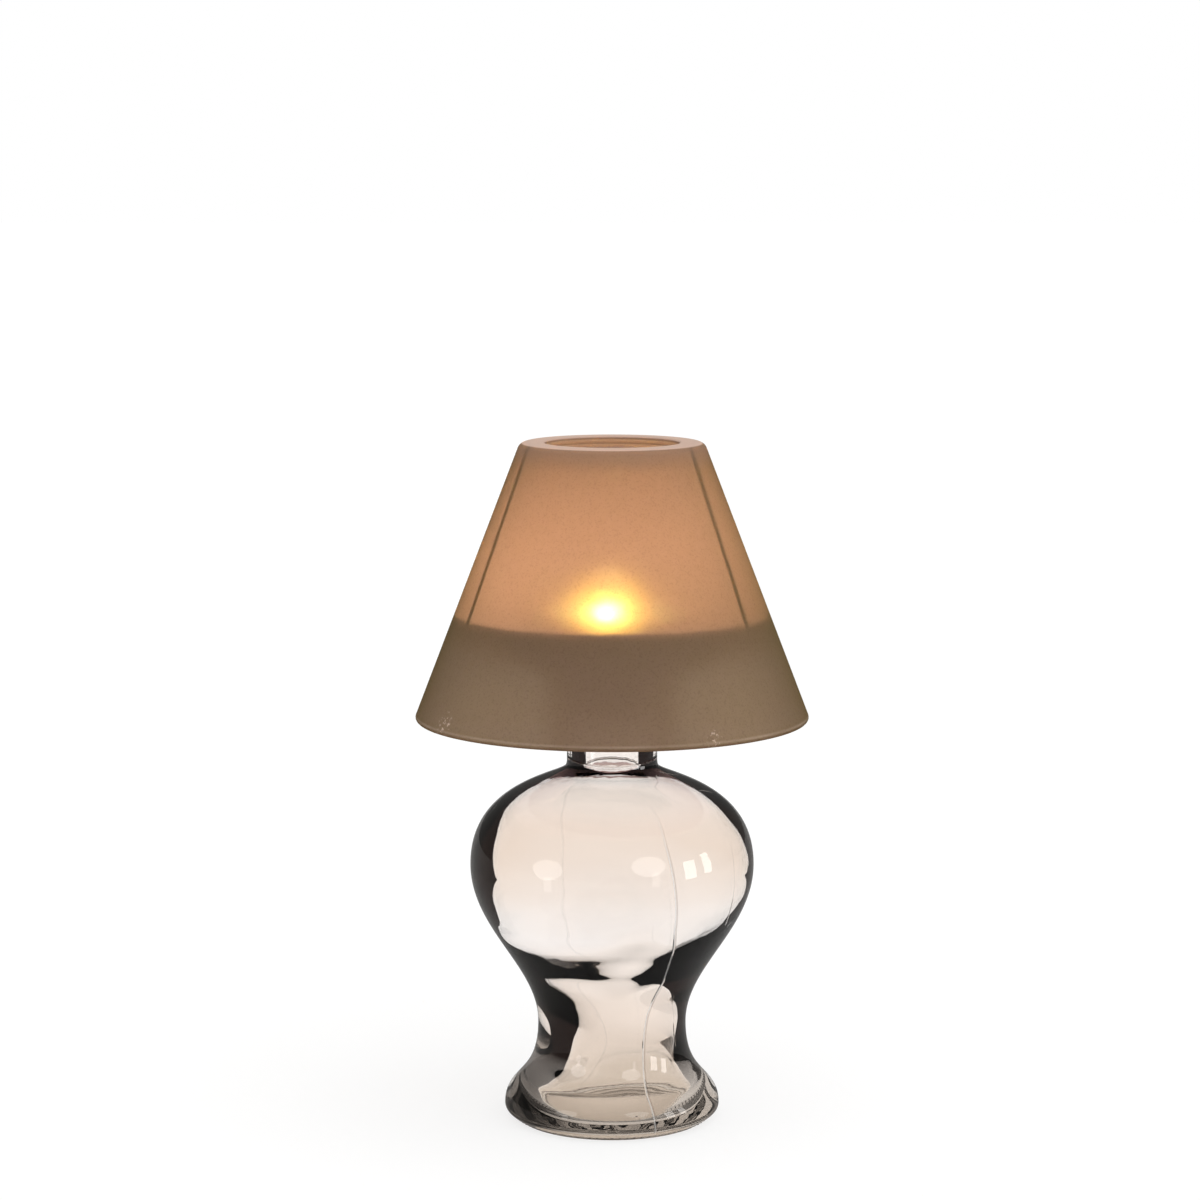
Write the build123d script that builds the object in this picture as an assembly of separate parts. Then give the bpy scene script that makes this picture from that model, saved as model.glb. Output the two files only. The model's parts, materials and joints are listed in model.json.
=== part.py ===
from build123d import *
from math import cos, pi, radians, sin, tan
import os

# A candle lamp: a clear glass baluster base, a metal carrier plugged into its neck, a frosted glass
# shade that hangs on the carrier's top ring, and a tealight. Millimetres and degrees. +Z is up, -Y is
# the front, and the origin is on the table, on the lamp's axis.

# Glass base, outside
knurl_height = 0.9
knurl_depth = 0.7
knurl_count = 84
bearing_width = 5.6
heel_inset = 3.2
heel_ledge = 0.7
heel_angle = 34.0
foot_radius = 35.9
foot_height = 4.7
waist_radius = 24.7
waist_rise = 27.7
belly_radius = 47.2
belly_rise = 53.7
neck_radius = 15.0
shoulder_rise = 32.7
shoulder_angle = 38.7
shoulder_hold = 6.9
neck_blend = 0.8
neck_blend_rise = 2.7
neck_length = 29.2
mouth_bead_height = 5.4
mouth_bead_reach = 1.6

# How far each stretch of the base's outline keeps its direction, as shares of that stretch's height
foot_hold = 0.374
waist_hold_below = 0.695
waist_hold_above = 0.358
belly_hold_below = 0.392
belly_hold_above = 0.78
cavity_hold_above_waist = 0.5
cavity_hold_below_belly = 0.53

# Glass base, inside
belly_wall = 5.0
waist_wall = 9.2
shoulder_wall = 3.2
neck_wall = 5.0
bottom_thickness = 5.6
push_up = 1.2
well_wall = 11.2
well_corner = 5.0
well_rise = 4.5
bore_blend = 2.0
bore_blend_rise = 2.4

# Rubber stopper in the neck, and what holds it
plug_clearance = 0.1
lip_reach = 0.7
lip_height = 1.6
lip_count = 3
grommet_flange_inset = 0.8
grommet_flange = 1.2
stopper_length = 17.0
tube_wall = 1.2
screw_radius = 1.5
screw_head_radius = 2.75
screw_head_height = 1.2
screw_recess_depth = 0.7
screw_recess_width = 0.7
screw_recess_length = 3.2
screw_end = 0.6
screw_clearance = 0.2
washer_inset = 0.4
washer_thickness = 1.2
nut_across_flats = 5.5
nut_thickness = 2.4
nut_bevel = 0.25

# Drip dish
dish_sheet = 0.8
dish_depth = 19.5
dish_gap = 2.9
dish_floor_bend = 4.0
dish_lip_bend = 1.5
dish_hem = 1.8
dish_hem_bend = 0.8
dish_margin = 0.15
dimple_floor_margin = 0.65
dimple_slope_width = 0.9
dimple_depth = 1.3
dimple_bend = 0.4

# Tealight socket
socket_clearance = 0.7
socket_sheet = 0.5
socket_height = 10.0
socket_floor_width = 6.0
socket_bend = 0.8

# Legs and top ring
leg_radius = 0.9
leg_hole_clearance = 0.05
leg_rise = 51.0
leg_bend_height = 1.8
leg_bend = 4.0
leg_angle = 56.0
leg_spacing_angle = 120.0
leg_end = 0.5
leg_nut_radius = 2.0
leg_nut_height = 1.9
leg_nut_bevel = 0.3
ring_margin = 0.2
ring_wire_radius = 1.2

# Frosted glass shade
shade_height = 92.0
shade_rim_radius = 65.6
shade_wall = 3.0
shade_corner = 3.0
shade_inner_corner = 1.8
shade_rim_round = 1.1
flange_width = 8.1
flange_thickness = 4.9
hole_lip_round = 0.7
ledge_height = 1.6
ledge_width = 0.5
ledge_count = 2
seat_gap = 0.3

# Tealight
tealight_radius = 19.0
tealight_height = 16.0
tealight_pass = 3.2
cup_sheet = 0.3
cup_bend = 1.5
cup_rim_reach = 0.5
fill_clearance = 0.05
wax_height = 12.6
wax_edge_rise = 0.5
sustainer_radius = 6.5
sustainer_sheet = 0.3
sustainer_neck_radius = 1.4
sustainer_neck_height = 3.0
wick_radius = 0.75
wick_length = 6.0
wick_lean = 1.4
wick_bend = 2.0

# Heights that follow from the sizes above, from the table up
waist_height = foot_height + waist_rise
belly_height = waist_height + belly_rise
neck_root_height = belly_height + shoulder_rise
mouth_height = neck_root_height + neck_length
dish_under = mouth_height + grommet_flange
dish_top = dish_under + dish_sheet
stopper_end = dish_under - stopper_length
washer_under = stopper_end - washer_thickness
nut_under = washer_under - nut_thickness
tealight_under = dish_top + socket_sheet
dish_rim_height = dish_top + dish_depth
lip_under = dish_rim_height - dish_sheet
ring_height = dish_rim_height + leg_rise
flange_under = ring_height + ring_wire_radius + seat_gap
shade_top_height = flange_under + flange_thickness
shade_rim_height = shade_top_height - shade_height

# Radii that follow
heel_radius = foot_radius - heel_inset
well_radius = foot_radius - well_wall
bore_radius = neck_radius - neck_wall
lip_radius = bore_radius - plug_clearance
sleeve_radius = lip_radius - lip_reach
dimple_floor_radius = screw_head_radius + dimple_floor_margin
dimple_radius = dimple_floor_radius + dimple_slope_width
tube_radius = dimple_radius + screw_clearance + tube_wall
hole_radius = tealight_radius + tealight_pass
ring_radius = hole_radius + ledge_width * ledge_count + ring_margin + ring_wire_radius
shade_top_radius = hole_radius + flange_width
shade_lean = (shade_rim_radius - shade_top_radius) / shade_height
shade_wall_across = shade_wall * (1 + shade_lean**2) ** 0.5
shade_inside_rim = shade_rim_radius - shade_wall_across
shade_inside_flange = shade_inside_rim - shade_lean * (flange_under - shade_rim_height)
dish_rim_radius = shade_inside_rim - shade_lean * (dish_rim_height - shade_rim_height) - dish_gap
socket_radius = tealight_radius + socket_clearance + socket_sheet
dish_floor_radius = socket_radius + dish_margin + dish_floor_bend
leg_foot_radius = dish_rim_radius - dish_sheet - dish_hem_bend - dish_margin - leg_nut_radius
dish_flare_radius = leg_foot_radius - leg_nut_radius - dish_margin - dish_lip_bend


def turned(outline):
    """The solid that a closed outline in (radius, height) sweeps about the lamp's axis."""
    return revolve(Plane.XZ * make_face(outline), axis=Axis.Z)


def pressed(path, sheet):
    """A turned sheet-metal part: path is its underside or outside, and the sheet lies to its left."""
    outline = path.wire().offset_2d(sheet, kind=Kind.INTERSECTION, side=Side.LEFT, closed=True)
    return revolve(Plane.XZ * Face(outline), axis=Axis.Z)


def rounded(sketch, corner, radius):
    """The sketch with its corner nearest to the given point rounded."""
    return fillet(sketch.vertices().sort_by_distance((corner[0], corner[1], 0))[0], radius)


def disc(radius, low, high):
    """A solid disc between two heights."""
    return Pos(0, 0, low) * extrude(Circle(radius), high - low)


def washer(radius, hole, low, high):
    """A round washer between two heights."""
    return Pos(0, 0, low) * extrude(Circle(radius) - Circle(hole), high - low)


def swelling(start, start_hold, end, end_hold):
    """A stretch of outline that runs upright at both its ends."""
    rise = end[1] - start[1]
    leave = (start[0], start[1] + start_hold * rise)
    arrive = (end[0], end[1] - end_hold * rise)
    return Bezier(start, leave, arrive, end)


def shoulder(belly, end):
    """The stretch from the belly's widest place, upright, to the slope at the neck's root."""
    leave = (belly[0], belly[1] + belly_hold_above * (end[1] - belly[1]))
    out = shoulder_hold * cos(radians(shoulder_angle))
    down = shoulder_hold * sin(radians(shoulder_angle))
    return Bezier(belly, leave, (end[0] + out, end[1] - down), end)


def neck_turn(end, radius, rise):
    """The bend from the shoulder's slope into the upright neck."""
    corner = (radius, end[1] + (end[0] - radius) * tan(radians(shoulder_angle)))
    return Bezier(end, corner, (radius, end[1] + rise))


def glass_outside():
    heel = (heel_radius, knurl_height)
    foot = (foot_radius, foot_height)
    waist = (waist_radius, waist_height)
    belly = (belly_radius, belly_height)
    root = (neck_radius + neck_blend, neck_root_height)
    heel_run = (foot_radius - heel_radius) / 2
    heel_out = (heel_radius + heel_run, knurl_height + heel_run * tan(radians(heel_angle)))
    foot_down = (foot_radius, (foot_height + knurl_height) / 2)
    bead_low = (neck_radius, mouth_height - mouth_bead_height)
    bead_out = (neck_radius + mouth_bead_reach, mouth_height - mouth_bead_height / 2)
    outline = Bezier(heel, heel_out, foot_down, foot)
    outline += swelling(foot, foot_hold, waist, waist_hold_below)
    outline += swelling(waist, waist_hold_above, belly, belly_hold_below)
    outline += shoulder(belly, root)
    outline += neck_turn(root, neck_radius, neck_blend_rise)
    outline += Line((neck_radius, neck_root_height + neck_blend_rise), bead_low)
    outline += ThreePointArc(bead_low, bead_out, (neck_radius, mouth_height))
    return outline


def glass_inside():
    slope = radians(shoulder_angle)
    well = (well_radius, bottom_thickness + well_rise)
    waist = (waist_radius - waist_wall, waist_height)
    belly = (belly_radius - belly_wall, belly_height)
    offset_radius = neck_radius + neck_blend - shoulder_wall * sin(slope)
    offset_height = neck_root_height - shoulder_wall * cos(slope)
    end_radius = bore_radius + bore_blend
    end = (end_radius, offset_height + (offset_radius - end_radius) * tan(slope))
    floor_end = (well_radius - well_corner, bottom_thickness)
    outline = Line((0, bottom_thickness), floor_end)
    outline += Bezier(floor_end, (well_radius, bottom_thickness), well)
    outline += swelling(well, foot_hold, waist, waist_hold_below)
    outline += swelling(waist, cavity_hold_above_waist, belly, cavity_hold_below_belly)
    outline += shoulder(belly, end)
    outline += neck_turn(end, bore_radius, bore_blend_rise)
    outline += Line((bore_radius, end[1] + bore_blend_rise), (bore_radius, mouth_height))
    return outline


def bearing_ring():
    """The knurled ring under the foot: scallops round a flat ring."""
    crest = heel_radius - heel_ledge
    valley = crest - knurl_depth
    step = 2 * pi / knurl_count

    def at(radius, turn):
        return (radius * cos(turn), radius * sin(turn))

    scallops = Curve()
    for number in range(knurl_count):
        start = at(valley, step * number)
        middle = at(crest, step * (number + 0.5))
        end = at(valley, step * (number + 1))
        scallops += ThreePointArc(start, middle, end)
    ring = make_face(scallops) - Circle(valley - bearing_width)
    return extrude(ring, knurl_height)


def glass_base():
    under_radius = heel_radius - heel_ledge - knurl_depth - bearing_width
    under_top = knurl_height + push_up
    outline = glass_outside() + glass_inside()
    outline += Line((bore_radius, mouth_height), (neck_radius, mouth_height))
    outline += Line((0, bottom_thickness), (0, under_top))
    outline += TangentArc((0, under_top), (under_radius, knurl_height), tangent=(1, 0))
    outline += Line((under_radius, knurl_height), (heel_radius, knurl_height))
    return turned(outline) + bearing_ring()


def neck_grommet():
    flange_radius = neck_radius - grommet_flange_inset
    pitch = (mouth_height - stopper_end) / (lip_count + 0.5)
    grommet = washer(sleeve_radius, tube_radius, stopper_end, dish_under)
    grommet += washer(flange_radius, tube_radius, mouth_height, dish_under)
    for number in range(lip_count):
        low = stopper_end + pitch * (number + 0.5)
        lip = Line((sleeve_radius, low + lip_height), (sleeve_radius, low))
        tip = (lip_radius, low + lip_height / 2)
        lip += ThreePointArc((sleeve_radius, low), tip, (sleeve_radius, low + lip_height))
        grommet += turned(lip)
    return grommet


def stopper_tube():
    bore = screw_radius + screw_clearance
    tube = washer(tube_radius, bore, stopper_end, dish_under)
    return tube - disc(dimple_radius + screw_clearance, dish_under - dimple_depth, dish_under)


def stopper_washer():
    return washer(sleeve_radius - washer_inset, screw_radius + screw_clearance, washer_under, stopper_end)


def stopper_nut():
    nut = extrude(RegularPolygon(nut_across_flats / 2, 6, major_radius=False), nut_thickness)
    nut = chamfer(nut.edges().filter_by(Axis.Z, reverse=True), nut_bevel)
    return Pos(0, 0, nut_under) * nut - disc(screw_radius, nut_under, washer_under)


def centre_screw():
    seat = dish_top - dimple_depth
    head = disc(screw_head_radius, seat, seat + screw_head_height)
    head = fillet(head.edges().group_by(Axis.Z)[-1], screw_head_height / 2)
    screw = head + disc(screw_radius, nut_under - screw_end, seat)
    recess = Pos(0, 0, seat + screw_head_height - screw_recess_depth / 2)
    blade = Box(screw_recess_length, screw_recess_width, screw_recess_depth)
    return screw - recess * blade - recess * Rot(0, 0, 90) * blade


def leg_places():
    """The turn about the axis of each leg, from the front towards the right."""
    names = ["leg_right", "leg_rear", "leg_left"]
    return {name: leg_angle + leg_spacing_angle * number for number, name in enumerate(names)}


def drip_dish():
    path = FilletPolyline(
        (screw_radius + screw_clearance, dish_under - dimple_depth),
        (dimple_floor_radius, dish_under - dimple_depth),
        (dimple_radius, dish_under),
        (dish_floor_radius, dish_under),
        (dish_flare_radius, lip_under),
        (dish_rim_radius - dish_sheet, lip_under),
        (dish_rim_radius - dish_sheet, lip_under - dish_hem),
        radius=[dimple_bend, dimple_bend, dish_floor_bend, dish_lip_bend, dish_hem_bend],
    )
    dish = pressed(path, dish_sheet)
    for turn in leg_places().values():
        hole = Cylinder(leg_radius + leg_hole_clearance, 4 * dish_sheet)
        dish -= Rot(0, 0, turn - 90) * Pos(leg_foot_radius, 0, lip_under) * hole
    return dish


def tealight_socket():
    path = FilletPolyline(
        (socket_radius - socket_floor_width, dish_top),
        (socket_radius, dish_top),
        (socket_radius, dish_top + socket_height),
        radius=socket_bend,
    )
    return pressed(path, socket_sheet)


def top_ring():
    return Pos(0, 0, ring_height) * Torus(ring_radius, ring_wire_radius)


def leg(turn):
    """A wire that stands in the dish's lip, bends inwards and is welded under the top ring."""
    path = FilletPolyline(
        (leg_foot_radius, 0, lip_under - leg_nut_height - leg_end),
        (leg_foot_radius, 0, dish_rim_height + leg_bend_height),
        (ring_radius, 0, ring_height),
        radius=leg_bend,
    )
    wire = sweep(Plane(path @ 0, z_dir=path % 0) * Circle(leg_radius), path=path)
    return Rot(0, 0, turn - 90) * wire - top_ring()


def leg_nuts():
    nuts = []
    for turn in leg_places().values():
        nut = washer(leg_nut_radius, leg_radius + leg_hole_clearance, lip_under - leg_nut_height, lip_under)
        nut = chamfer(nut.edges().group_by(Axis.Z)[0].sort_by(SortBy.LENGTH)[-1], leg_nut_bevel)
        nuts.append(Rot(0, 0, turn - 90) * Pos(leg_foot_radius, 0, 0) * nut)
    return Compound(children=nuts)


def shade():
    rim_out = (shade_rim_radius, shade_rim_height)
    rim_in = (shade_inside_rim, shade_rim_height)
    top_corner = (shade_top_radius, shade_top_height)
    hole_lip = (hole_radius, shade_top_height)
    inner_corner = (shade_inside_flange, flange_under)
    points = [rim_in, rim_out, top_corner, hole_lip]
    for number in range(ledge_count):
        drop = shade_top_height - ledge_height * (number + 1)
        points.append((hole_radius + ledge_width * number, drop))
        points.append((hole_radius + ledge_width * (number + 1), drop))
    points.append((hole_radius + ledge_width * ledge_count, flange_under))
    points.append(inner_corner)
    section = make_face(Polyline(*points, close=True))
    section = rounded(section, rim_in, shade_rim_round)
    section = rounded(section, rim_out, shade_rim_round)
    section = rounded(section, top_corner, shade_corner)
    section = rounded(section, hole_lip, hole_lip_round)
    section = rounded(section, inner_corner, shade_inner_corner)
    return revolve(Plane.XZ * section, axis=Axis.Z)


def tealight_cup():
    top = tealight_under + tealight_height
    path = FilletPolyline(
        (0, tealight_under),
        (tealight_radius, tealight_under),
        (tealight_radius, top),
        radius=cup_bend,
    )
    cup = pressed(path, cup_sheet)
    return cup + washer(tealight_radius + cup_rim_reach, tealight_radius - cup_sheet, top - cup_sheet, top)


def tealight_wax():
    low = tealight_under + cup_sheet + fill_clearance
    radius = tealight_radius - cup_sheet - fill_clearance
    top = tealight_under + wax_height
    plate_top = tealight_under + cup_sheet + sustainer_sheet + fill_clearance
    neck_top = tealight_under + cup_sheet + sustainer_neck_height + fill_clearance
    plate = sustainer_radius + fill_clearance
    neck = sustainer_neck_radius + fill_clearance
    core = wick_radius + fill_clearance
    corner = cup_bend - cup_sheet
    outline = Polyline(
        (core, top),
        (core, neck_top),
        (neck, neck_top),
        (neck, plate_top),
        (plate, plate_top),
        (plate, low),
        (radius - corner, low),
    )
    outline += TangentArc((radius - corner, low), (radius, low + corner), tangent=(1, 0))
    outline += Line((radius, low + corner), (radius, top + wax_edge_rise))
    outline += TangentArc((core, top), (radius, top + wax_edge_rise), tangent=(1, 0))
    return turned(outline)


def wick_sustainer():
    low = tealight_under + cup_sheet
    bore = wick_radius + fill_clearance
    plate = washer(sustainer_radius, bore, low, low + sustainer_sheet)
    return plate + washer(sustainer_neck_radius, bore, low, low + sustainer_neck_height)


def wick():
    wax_top = tealight_under + wax_height
    path = FilletPolyline(
        (0, 0, tealight_under + cup_sheet + fill_clearance),
        (0, 0, wax_top + wick_length / 2),
        (wick_lean, 0, wax_top + wick_length),
        radius=wick_bend,
    )
    return sweep(Plane(path @ 0, z_dir=path % 0) * Circle(wick_radius), path=path)


def nodes():
    made = {
        "glass_base": glass_base(),
        "neck_grommet": neck_grommet(),
        "stopper_tube": stopper_tube(),
        "stopper_washer": stopper_washer(),
        "stopper_nut": stopper_nut(),
        "centre_screw": centre_screw(),
        "drip_dish": drip_dish(),
        "tealight_socket": tealight_socket(),
        "leg_nuts": leg_nuts(),
        "top_ring": top_ring(),
        "shade": shade(),
        "tealight_cup": tealight_cup(),
        "tealight_wax": tealight_wax(),
        "wick_sustainer": wick_sustainer(),
        "wick": wick(),
    }
    for name, turn in leg_places().items():
        made[name] = leg(turn)
    return made


os.makedirs("parts", exist_ok=True)
for name, solid in nodes().items():
    export_step(solid, f"parts/{name}.step")
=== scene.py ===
import json
from math import ceil, cos, degrees, exp, pi, radians, sin, tan
import bmesh
import bpy
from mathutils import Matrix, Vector, noise

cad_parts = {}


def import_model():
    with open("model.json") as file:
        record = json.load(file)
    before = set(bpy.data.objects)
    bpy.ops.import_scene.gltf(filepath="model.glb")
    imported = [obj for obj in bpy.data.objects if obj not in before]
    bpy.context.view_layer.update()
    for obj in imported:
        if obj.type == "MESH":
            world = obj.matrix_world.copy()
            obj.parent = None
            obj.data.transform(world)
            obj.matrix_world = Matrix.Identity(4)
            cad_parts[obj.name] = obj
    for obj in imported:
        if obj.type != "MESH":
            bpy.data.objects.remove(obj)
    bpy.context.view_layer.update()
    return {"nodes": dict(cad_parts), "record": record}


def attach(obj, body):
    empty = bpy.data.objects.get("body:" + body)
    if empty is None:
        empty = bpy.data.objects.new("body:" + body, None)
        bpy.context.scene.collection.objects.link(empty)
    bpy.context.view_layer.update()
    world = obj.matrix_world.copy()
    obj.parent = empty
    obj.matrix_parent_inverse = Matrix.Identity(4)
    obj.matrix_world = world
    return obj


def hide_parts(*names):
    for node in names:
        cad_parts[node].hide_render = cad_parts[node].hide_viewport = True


# A candle lamp in a plain white studio. Sizes and places are in millimetres, and MM turns them into
# Blender's metres. +Z is up, -Y is the front. Angles are in degrees, and colours are linear.

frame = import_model()
MM = 0.001
WHITE = (1.0, 1.0, 1.0)

# How often light is followed on: through the glass's many faces, and from gloss
glass_bounces = 24
glossy_bounces = 12

# Camera, a little higher than the lamp and looking down on it
lens_mm = 105.0
sensor_width_mm = 36.0
camera_side = -4.0
camera_distance = 1145.4
camera_height = 326.8
camera_pitch = 7.573
camera_reach = 20000.0

# Glass base, outside, as the solid has it
knurl_height = 0.9
knurl_depth = 0.7
knurl_count = 84
glass_segments = 4 * knurl_count
knurl_low_chamfer = 0.3
knurl_high_chamfer = 0.1
bearing_width = 5.6
bearing_inner_chamfer = 0.6
bearing_outer_chamfer = 0.4
push_up = 1.2
heel_radius = 32.7
heel_ledge = 0.7
heel_angle = 34.0
foot_radius = 35.9
foot_height = 4.7
waist_radius = 24.7
waist_height = 32.4
belly_radius = 47.2
belly_height = 86.1
neck_radius = 15.0
neck_root_height = 118.8
neck_blend = 0.8
neck_blend_rise = 2.7
shoulder_angle = 38.7
shoulder_hold = 6.9
mouth_height = 148.0
mouth_bead_height = 5.4
mouth_bead_reach = 1.6
foot_hold = 0.374
waist_hold_below = 0.695
waist_hold_above = 0.358
belly_hold_below = 0.392
belly_hold_above = 0.78

# Glass base, inside, up to the belly: the cavity's (height, radius), and how far its axis leans to
# the right as (height, lean)
cavity_radius = [
    (7.0, 26.0), (9.5, 25.3), (13.0, 22.2), (18.0, 18.4), (22.0, 17.1), (27.0, 16.7),
    (34.0, 17.2), (41.0, 18.6), (48.0, 21.0), (53.5, 24.1), (56.5, 27.2), (60.0, 30.9),
    (64.0, 34.9), (69.0, 38.2), (77.0, 41.4), (86.1, 42.3),
]
cavity_lean = [
    (6.0, 0.4), (15.0, 2.0), (24.0, 3.2), (34.0, 3.0), (42.0, 1.5), (50.0, -1.6), (60.0, -1.4),
    (71.0, 1.2), (84.0, 2.2), (96.0, 1.4), (104.0, 0.3), (116.0, 0.0),
]
cavity_rows = 100

# The walls above the belly, the well's floor, and the bore with its turn out of the cavity
shoulder_wall = 4.0
neck_wall = 5.0
neck_bead_wall = 6.1
bottom_thickness = 3.4
well_flat_radius = 23.0
bore_blend = 1.0
bore_blend_rise = 1.2
bore_change = 9.0
bore_change_end = 11.0

# What makes the cavity uneven: waves that fade out at the top and in the middle of the floor, a
# thicker wall at the left of the waist, and a flare that is steeper or easier in two places, each
# (by how much, where it is to the right of the front, over how many degrees)
cavity_wave = 0.7
cavity_wave_turns = 1.1
cavity_wave_height = 22.0
cavity_fade = 12.0
left_swell = 0.4
left_swell_height = 28.0
left_swell_reach = 9.0
left_swell_power = 8
front_turn = 270.0
flare_ease_height = 58.5
flare_ease_reach = 8.0
flare_eases = [(3.2, 14.0, 14.0), (-0.5, -10.0, 12.0)]

# Painted shade: where light is caught in the glass's wall, its colour is darkened, fully from this
# share of the way from the foot to the waist, less in the foot, with more on the foot's left, and
# in the knurling
band_full_share = 0.6
band_foot = 0.1
band_foot_left = 0.65
band_left_start = 9.0
band_left_width = 14.0
band_knurl = 0.8
band_knurl_rise = 0.5
band_knurl_width = 1.6

# Clear glass. Each list of shares goes by the share of the height above it. The warm tint is partly
# the glass's own faint tint and partly painted warm light from the shade and flame above
glass_ior = 1.5
painted_warmth_height = 150.0
painted_warmth_share = [
    (0.0, 0.8), (0.2, 0.72), (0.3, 0.6), (0.37, 0.15), (0.45, 0.0), (0.5, 0.3), (0.57, 0.95),
    (0.65, 0.92), (0.69, 0.8), (0.74, 0.2), (1.0, 0.2),
]
cool_tint = (0.98, 0.97, 0.965)
glass_and_painted_warm_tint = (0.942, 0.899, 0.862)
foot_tint_height = 30.0
foot_tint_share = [(0.0, 1.0), (0.2, 1.0), (0.65, 0.35), (1.0, 0.0)]
foot_tint = (0.885, 0.845, 0.8)
# Darker towards the very bottom of the foot
foot_bottom_height = 3.0
foot_bottom_share = [(0.0, 0.45), (0.4, 0.38), (0.7, 0.0)]
foot_bottom_tint = (0.34, 0.3, 0.27)
# Painted shade along the seam's side, the parting line, its cross and the wrinkles: the colour they
# darken the glass to
painted_line_shade_tint = (0.45, 0.4, 0.38)
# Painted shade where light is caught in the wall: from which Fresnel share, how fast, and the
# colour the glass darkens to
caught_start = 0.6
caught_slope = 2.5
painted_shade_tint = (0.016, 0.01, 0.009)
# Painted highlight along the seam: a pale diffuse line, and how much of the glass it covers
seam_highlight_colour = (0.75, 0.74, 0.72)
seam_highlight_cover = 0.45
glass_shadow = (0.93, 0.91, 0.89)
glass_body_colour = (0.75, 0.62, 0.5)
glass_body_density = 8.0

# The mould's seam: its turn to the right of the front, as a share of seam_swing by share of
# seam_height, where it fades in and out, and how wide it and the line of painted shade beside it
# are
seam_height = 100.0
seam_swing = 60.0
seam_turn = [
    (0.0, 0.4), (0.14, 0.36), (0.27, 0.4), (0.4, 0.44), (0.52, 0.53), (0.64, 0.5), (0.72, 0.455),
    (1.0, 0.38),
]
seam_low_end = 2.0
seam_low_slope = 900.0
seam_high_end = 95.0
seam_high_slope = 60.0
seam_width = 0.45
seam_shade_offset = 0.55
seam_shade_width = 0.35
seam_shade_share = 0.6
rear_marks_share = 0.25

# The mould's parting line round the neck, which rises to both sides by its arc times the square
# of the way in metres, and the small cross at its front. The parting line is a bump with painted
# shade along it, and the cross is painted shade only
parting_height = 121.2
parting_arc = 5.0
parting_width = 0.4
parting_dark_share = 0.6
cross_side = 2.0
cross_height = 121.5
cross_steepness = 2.4
cross_width = 0.4
cross_reach = 2.4

# Wrinkles and bubbles in the glass, the fine lines drawn up the neck, and how deep the bump of
# each mark is. The wrinkles also carry some painted shade
wrinkle_level = 0.66
wrinkle_width = 0.006
wrinkle_start = 16.0
wrinkle_slope = 60.0
wrinkle_patch_level = 0.5
wrinkle_patch_slope = 8.0
wrinkle_dark_share = 0.3
bubble_scale = 45.0
bubble_size = 0.022
drawn_start = 117.0
drawn_slope = 500.0
streak_depth = 0.05
wave_depth = 0.1
drawn_depth = 0.18
seam_depth = 0.25
parting_depth = 0.2
wrinkle_depth = 0.04
bubble_depth = 0.25

# Shade
shade_rim_height = 134.9
shade_rim_radius = 65.6
shade_inside_rim = 62.39
shade_top_height = 226.9
shade_top_radius = 30.3
flange_under = 222.0
hole_radius = 22.2
ledge_height = 1.6
ledge_width = 0.5
ledge_count = 2
rim_round = 1.1
top_round = 3.0
hole_round = 0.7
ledge_round = 0.1
flange_edge_round = 0.15
flange_round = 1.8
shade_piece_length = 3.0
shade_segments = 256
shade_lean = (shade_rim_radius - shade_top_radius) / (shade_top_height - shade_rim_height)

# Where the shade is frosted, by the depth under its outside and in the flange, and where painted
# light makes it pale: on its top and, less, on the wall of its hole
satin_depth = 2.3
satin_blend = 0.8
satin_flange_rise = 0.5
rim_depth = 0.35
hole_wall_slack = 0.3
hole_wall_drop = 0.2
hole_wall_share = 0.45
hole_wall_radius = hole_radius + ledge_width * ledge_count + hole_wall_slack

# Frosted glass: the coat and its places of painted light, painted shade and painted highlight, what
# it scatters of the light behind it, and the two soft lobes that let the flame's halo and core show
coat_colours = ((0.088, 0.0655, 0.019), (0.112, 0.0865, 0.029))
# Painted light: the paler coat of the top band and of the flat top
painted_top_band_colour = (0.27, 0.18, 0.135)
painted_top_light_colour = (0.56, 0.42, 0.35)
coat_highlight_and_scuff_colour = (0.5, 0.4, 0.32)
coat_sheen = (0.024, 0.018, 0.012)
spread_colours = ((0.225, 0.141, 0.165), (0.285, 0.178, 0.205))
slant_loss = 0.85
thick_loss = 0.55
thick_start = 220.5
thick_rise = 3.5
coat_ior = 1.45
halo_colour = (0.05, 0.0355, 0.0095)
halo_roughness = 0.62
core_colour = (0.024, 0.0228, 0.021)
core_roughness = 0.34
coat_shadow = (0.3, 0.25, 0.2)
bare_colour = (0.97, 0.96, 0.95)
bare_gloss_roughness = 0.08
bare_ior = 1.4
speck_share = [(0.0, 0.25), (0.35, 0.3), (0.47, 1.0)]
# Painted shade on the corners of the ledges in the hole: its width and how much it darkens
ledge_shade_width = 0.4
ledge_shade_depth = 0.55
# Painted highlight along the shade's bottom edge, and pale scuffs above it
rim_highlight_rise = 1.6
rim_highlight_width = 0.6
rim_highlight_share = 0.55
chip_level = 0.56
chip_slope = 14.0
scuffs = [((-54.0, -34.0, 138.5), 5.0), ((32.0, -56.0, 137.5), 3.5)]

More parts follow.
